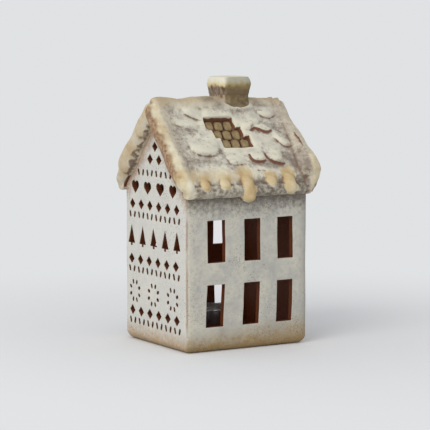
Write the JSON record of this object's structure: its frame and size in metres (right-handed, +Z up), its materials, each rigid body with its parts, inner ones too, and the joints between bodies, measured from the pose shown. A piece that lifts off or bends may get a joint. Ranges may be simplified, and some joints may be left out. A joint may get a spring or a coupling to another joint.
{
  "type": "tealight house",
  "caption": "Hand-built clay house lantern with a snow-covered gable roof, cut-out windows, a gable pierced in rows of small shapes, and a tealight that slides in through the back.",
  "frame": {"origin": "on the table, at the bottom centre of the object's box", "axes": "+Z up, X along the ridge with the pierced gable at -X, -Y out of the front window wall"},
  "size_m": [0.112, 0.1044, 0.18],
  "materials": {
    "painted_clay": "matt off-white slip wash over red-brown fired clay, rubbed back",
    "snow_clay": "satin off-white slip, brown stain in the creases",
    "tile_clay": "matt olive-tan stain with dark joints",
    "cup_aluminium": "thin pressed aluminium",
    "wax": "cast paraffin wax",
    "wick_cotton": "braided cotton",
    "tab_steel": "tinned steel"
  },
  "bodies": {
    "house": {"floor_slab": "painted_clay", "front_wall": "painted_clay", "rear_wall": "painted_clay", "left_gable": "painted_clay", "right_gable": "painted_clay", "front_roof_slab": "painted_clay", "rear_roof_slab": "painted_clay", "chimney_stack": "painted_clay", "chimney_snow": "snow_clay", "left_front_verge_snow": "snow_clay", "left_rear_verge_snow": "snow_clay", "right_front_verge_snow": "snow_clay", "right_rear_verge_snow": "snow_clay", "ridge_snow": "snow_clay", "front_eave_snow": "snow_clay", "rear_eave_snow": "snow_clay", "front_roof_snow": "snow_clay", "rear_roof_snow": "snow_clay", "front_roof_tiles": "tile_clay", "rear_roof_tiles": "tile_clay"},
    "tealight": {"tealight_cup": "cup_aluminium", "tealight_wax": "wax", "tealight_wick": "wick_cotton", "wick_tab": "tab_steel"}
  },
  "joints": [
    {"name": "tealight_slide", "type": "slide", "parent": "house", "child": "tealight", "axis": [0, 1, 0], "range_m": [0, 0.074]}
  ]
}
